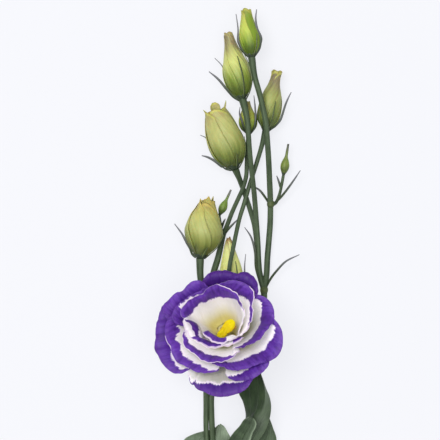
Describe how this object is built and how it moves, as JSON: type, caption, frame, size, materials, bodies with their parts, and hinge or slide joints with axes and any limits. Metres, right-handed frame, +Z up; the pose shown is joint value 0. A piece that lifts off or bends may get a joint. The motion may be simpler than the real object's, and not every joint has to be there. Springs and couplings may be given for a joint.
{
  "type": "lisianthus flower",
  "caption": "Cut lisianthus with a purple and white double bloom, closed pale green buds and grey-green leaves on a branching stem, lying on its side.",
  "frame": {"origin": "on the surface that the flower lies on, under the middle of its box", "axes": "+Y along the stem, from its cut end to the topmost bud; +Z up, the way the bloom faces; +X to the right, seen from above"},
  "size_m": [0.0826, 0.3136, 0.0512],
  "materials": {
    "stem": "satin, waxy green skin",
    "petal": "soft satin, white at the middle with a purple margin",
    "bud": "satin, pale yellow-green",
    "leaf": "satin, waxy grey-green",
    "pistil": "satin, green",
    "stigma": "matt, velvety yellow",
    "stamen": "matt, powdery yellow"
  },
  "bodies": {
    "root": {"stem": "stem", "petal_inner_1": "petal", "petal_inner_2": "petal", "petal_inner_3": "petal", "petal_inner_4": "petal", "petal_middle_1": "petal", "petal_middle_2": "petal", "petal_middle_3": "petal", "petal_middle_4": "petal", "petal_middle_5": "petal", "petal_outer_1": "petal", "petal_outer_2": "petal", "petal_outer_3": "petal", "petal_outer_4": "petal", "petal_outer_5": "petal", "pistil": "pistil", "stigma": "stigma", "stamen_1": "stamen", "stamen_2": "stamen", "stamen_3": "stamen", "stamen_4": "stamen", "stamen_5": "stamen", "bud_top": "bud", "bud_upper_left": "bud", "bud_upper_right": "bud", "bud_left": "bud", "bud_small": "bud", "bud_behind": "bud", "bud_lower_left": "bud", "bud_tiny_left": "bud", "bud_tiny_right": "bud", "leaf_left": "leaf", "leaf_right_upper": "leaf", "leaf_right_front": "leaf", "leaf_right_back": "leaf"}
  },
  "joints": []
}
